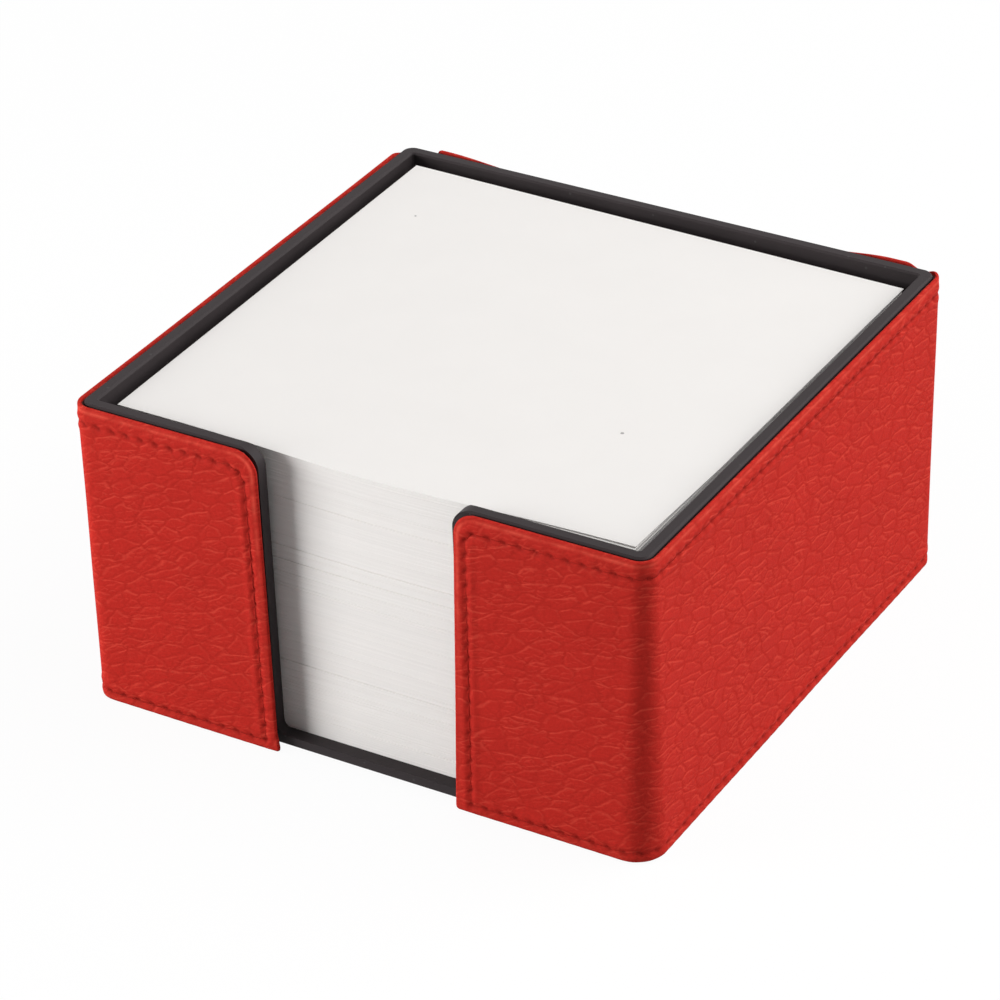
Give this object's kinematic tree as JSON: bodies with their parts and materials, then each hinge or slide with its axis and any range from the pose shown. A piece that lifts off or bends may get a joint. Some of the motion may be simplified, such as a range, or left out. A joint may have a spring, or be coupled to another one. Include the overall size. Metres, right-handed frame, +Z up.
{
  "type": "memo box",
  "caption": "Square desk box for loose note paper: a moulded tray with a finger notch in front, wrapped in a stitched leather strip and filled with a pile of sheets.",
  "frame": {"origin": "on the desk, under the middle of the box", "axes": "+Z up out of the open top, the finger notch faces -Y, +X to the right of someone who faces the notch"},
  "size_m": [0.1008, 0.1008, 0.0539],
  "materials": {
    "black_plastic": "satin moulded black plastic",
    "red_leather": "pebble-grained red faux leather",
    "lining_board": "dark fibre lining",
    "red_thread": "dark red sewing thread",
    "glue": "set adhesive",
    "foot_pad": "soft matt pad",
    "note_paper": "white uncoated paper"
  },
  "bodies": {
    "box": {"tray": "black_plastic", "cover_skin": "red_leather", "cover_backing": "lining_board", "seam_thread": "red_thread", "adhesive_front_left": "glue", "adhesive_front_right": "glue", "adhesive_left": "glue", "adhesive_right": "glue", "adhesive_back": "glue", "foot_front_left": "foot_pad", "foot_front_right": "foot_pad", "foot_back_left": "foot_pad", "foot_back_right": "foot_pad"},
    "paper_stack": {"paper_stack": "note_paper"},
    "top_sheet": {"top_sheet": "note_paper"}
  },
  "joints": [
    {"name": "stack_lift", "type": "slide", "parent": "box", "child": "paper_stack", "axis": [0, 0, 1], "range_m": [0, 0.056]},
    {"name": "sheet_lift", "type": "slide", "parent": "paper_stack", "child": "top_sheet", "axis": [0, 0, 1], "range_m": [0, 0.03]}
  ]
}
